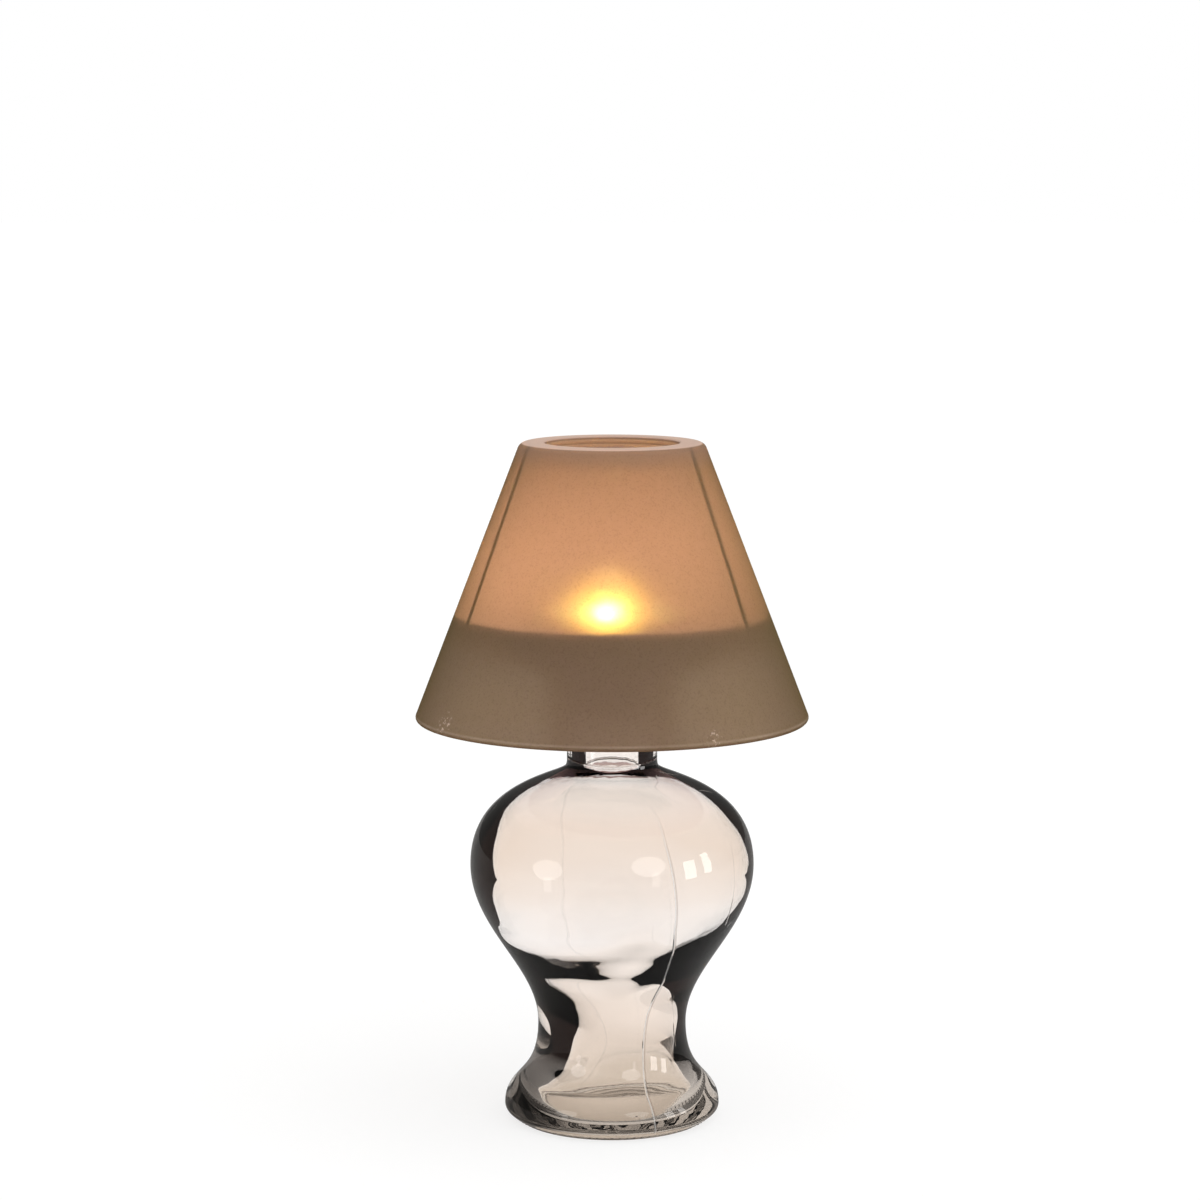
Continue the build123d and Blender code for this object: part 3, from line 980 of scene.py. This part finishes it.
def flame():
    rows = []
    for step in range(flame_rows + 1):
        share = step / flame_rows
        width = sin(pi * share**flame_belly)**flame_roundness * (1 - flame_taper * share)
        radius = 0.0 if step in (0, flame_rows) else flame_radius * width
        rows.append((flame_point, radius, flame_low + share * (flame_high - flame_low)))
    made = spun("candle_flame", rows, flame_segments)
    made.data.materials.append(flame_fire())
    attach(made, "tealight")
    for number, (height, power) in enumerate(flame_lights):
        place = (flame_lean, 0.0, height)
        light = lamp("flame_light_%d" % number, "POINT", place, power, flame_light_colour)
        light.data.shadow_soft_size = flame_light_radius * MM
        light.parent = made
        light.matrix_parent_inverse = made.matrix_world.inverted()


def bronze_lacquer():
    finish = Finish("carrier_metal")
    place = finish.position()
    peel = finish.noise(place, 900.0, 2.0)
    patch = finish.noise(place, 90.0, 4.0)
    colour = finish.mix_colour(patch, (0.032, 0.025, 0.019), (0.06, 0.047, 0.036))
    rough = finish.maths("ADD", 0.3, finish.product(patch, 0.2))
    return finish.surface(finish.shader(
        "Principled", Base_Color=colour, Metallic=0.35, Roughness=rough,
        Normal=finish.bump(peel, 0.02), Coat_Weight=0.4, Coat_Roughness=0.25))


def zinc_steel():
    finish = Finish("bright_steel")
    spangle = finish.node("TexVoronoi", Vector=finish.position(), Scale=1400.0).outputs["Distance"]
    drawn = finish.noise(finish.position((1.0, 1.0, 0.08)), 2500.0, 2.0)
    colour = finish.mix_colour(spangle, (0.5, 0.51, 0.53), (0.68, 0.68, 0.67))
    rough = finish.maths("ADD", 0.22, finish.product(drawn, 0.2))
    return finish.surface(finish.shader(
        "Principled", Base_Color=colour, Metallic=1.0, Roughness=rough,
        Normal=finish.bump(drawn, 0.01)))


def dark_rubber():
    finish = Finish("rubber")
    place = finish.position()
    pores = finish.noise(place, 3000.0, 3.0)
    bloom = finish.noise(place, 120.0, 3.0)
    colour = finish.mix_colour(bloom, (0.03, 0.028, 0.026), (0.055, 0.052, 0.05))
    return finish.surface(finish.shader(
        "Principled", Base_Color=colour, Roughness=0.72, Normal=finish.bump(pores, 0.02)))


def drawn_aluminium():
    """Fluted foil, with fine lines round it."""
    finish = Finish("cup_aluminium")
    x, y = finish.parts(finish.position())[:2]
    flutes = finish.maths("SINE", finish.product(finish.maths("ARCTAN2", y, x), 60.0))
    lines = finish.noise(finish.position((0.05, 0.05, 1.0)), 4000.0, 2.0)
    rough = finish.maths("ADD", 0.16, finish.product(lines, 0.16))
    normal = finish.bump(lines, 0.01, finish.bump(flutes, 0.12))
    return finish.surface(finish.shader(
        "Principled", Base_Color=(0.83, 0.83, 0.84), Metallic=1.0, Roughness=rough, Normal=normal))


def paraffin():
    """White wax, molten and clear round the wick."""
    finish = Finish("candle_wax")
    place = finish.position()
    height = finish.parts(place)[2]
    wave = finish.product(finish.noise(place, 90.0, 2.0), 0.004)
    reach = finish.maths("ADD", finish.from_axis(place), wave)
    pool = [(0.0, 1.0), (pool_radius * MM, 1.0), (pool_edge_radius * MM, 0.0)]
    molten = finish.shares(reach, pool)
    molten = finish.product(molten, finish.maths("GREATER_THAN", height, pool_height * MM))
    crystals = finish.noise(place, 700.0, 4.0)
    colour = finish.mix_colour(crystals, (0.82, 0.78, 0.7), (0.9, 0.87, 0.8))
    colour = finish.mix_colour(molten, colour, (0.78, 0.68, 0.5))
    rough = finish.maths("SUBTRACT", 0.42, finish.product(molten, 0.38))
    rise = finish.product(crystals, finish.without(molten))
    return finish.surface(finish.shader(
        "Principled", Base_Color=colour, Roughness=rough, Normal=finish.bump(rise, 0.06),
        Subsurface_Weight=0.6, Subsurface_Scale=0.004))


def charred_cotton():
    """A braid that is burnt towards its glowing tip."""
    finish = Finish("cotton_wick")
    place = finish.position()
    height = finish.parts(place)[2]
    wave = finish.node("TexWave", {"bands_direction": "DIAGONAL"}, Vector=place, Scale=900.0)
    braid = wave.outputs[1]
    up = finish.maths("SUBTRACT", height, wick_low * MM)
    burnt = finish.ramp(finish.maths("DIVIDE", up, wick_length * MM), [
        (0.0, (0.62, 0.52, 0.38)), (0.25, (0.12, 0.08, 0.05)), (0.9, (0.012, 0.01, 0.009)),
        (1.0, (0.03, 0.012, 0.006))])
    colour = finish.mix_colour(braid, burnt, (0.02, 0.015, 0.012))
    black = (0.0, 0.0, 0.0)
    tip = finish.ramp(height, [
        (0.0, black), (ember_low * MM, black), (ember_high * MM, (1.0, 0.25, 0.03))])
    return finish.surface(finish.shader(
        "Principled", Base_Color=colour, Roughness=0.9, Normal=finish.bump(braid, 0.1),
        Emission_Color=tip, Emission_Strength=3.0))


def dress():
    """Gives the nodes that keep their meshes from model.glb their finishes."""
    finishes = {
        "carrier_metal": bronze_lacquer(), "bright_steel": zinc_steel(), "rubber": dark_rubber(),
        "cup_aluminium": drawn_aluminium(), "candle_wax": paraffin(),
        "cotton_wick": charred_cotton(),
    }
    for part in frame["record"]["subparts"]:
        if part["material_slot"] in finishes:
            mesh = frame["nodes"][part["node"]].data
            mesh.materials.clear()
            mesh.materials.append(finishes[part["material_slot"]])


def camera():
    data = bpy.data.cameras.new("camera")
    data.lens = lens_mm
    data.sensor_width = sensor_width_mm
    data.clip_end = camera_reach * MM
    made = bpy.data.objects.new("camera", data)
    made.location = (camera_side * MM, -camera_distance * MM, camera_height * MM)
    made.rotation_euler = (radians(90 - camera_pitch), 0.0, 0.0)
    bpy.context.scene.collection.objects.link(made)
    bpy.context.scene.camera = made


def lamp(name, kind, place, power, colour=WHITE, target=(0.0, 0.0, 0.0)):
    data = bpy.data.lights.new(name, kind)
    data.energy = power
    data.color = colour
    made = bpy.data.objects.new(name, data)
    made.location = [part * MM for part in place]
    towards = Vector(target) - Vector(place)
    made.rotation_euler = towards.to_track_quat("-Z", "Y").to_euler()
    bpy.context.scene.collection.objects.link(made)
    return made


def world():
    """White where the camera looks past the lamp or through its glass, and darker as fill light."""
    finish = Finish("studio", world=True)
    paths = finish.node("LightPath").outputs
    strength = finish.product(paths["Is Glossy Ray"], fill_reflected - fill_light)
    strength = finish.maths("ADD", strength, fill_light)
    fill = finish.node("Background", Color=fill_colour, Strength=strength).outputs[0]
    white = finish.node("Background", Color=WHITE, Strength=1.0).outputs[0]
    seen = finish.most(paths["Is Camera Ray"], paths["Is Transmission Ray"])
    bpy.context.scene.world = finish.surface(finish.mix_shader(seen, fill, white))


def floor():
    """White paper: it glows for the rays that are seen, and keeps a faint shadow."""
    finish = Finish("floor_white")
    weave = finish.noise(finish.position(), 900.0, 3.0)
    paths = finish.node("LightPath").outputs
    seen = finish.most(paths["Is Camera Ray"], paths["Is Transmission Ray"])
    colour = finish.mix_colour(seen, paper_colour, paper_seen_colour)
    colour = finish.mix_colour(paths["Is Glossy Ray"], colour, paper_seen_colour)
    paper = finish.shader("Diffuse", Color=colour, Normal=finish.bump(weave, 0.02))
    in_glass = finish.product(paths["Is Transmission Ray"], paper_glow_in_glass)
    glow = finish.maths("ADD", finish.product(seen, paper_glow), in_glass)
    lift = finish.node("Emission", Color=WHITE, Strength=glow).outputs[0]
    bpy.ops.mesh.primitive_plane_add(size=floor_width * MM, location=(0.0, 0.0, 0.0))
    made = bpy.context.object
    made.name = "floor"
    made.data.materials.append(finish.surface(finish.add_shaders(paper, lift)))


def studio():
    world()
    floor()
    sun = lamp("sky_panel", "SUN", sun_place, sun_power)
    sun.data.angle = radians(sun_angle)
    sun.visible_glossy = False
    sun.visible_transmission = False
    for number, (kind, place, width, height, bright) in enumerate(reflected_lamps):
        power = bright * pi * width * MM * height * MM
        level = (0.0, 0.0, place[2])
        made = lamp("reflected_%d" % number, "AREA", place, power, target=level)
        made.data.shape = kind
        made.data.size, made.data.size_y = width * MM, height * MM
        made.visible_camera = False
        made.visible_diffuse = False
        made.visible_transmission = False


base()
shade()
flame()
dress()
camera()
studio()
bpy.context.scene.cycles.max_bounces = glass_bounces
bpy.context.scene.cycles.glossy_bounces = glossy_bounces
bpy.context.scene.cycles.transmission_bounces = glass_bounces
bpy.context.scene.view_settings.view_transform = "Standard"
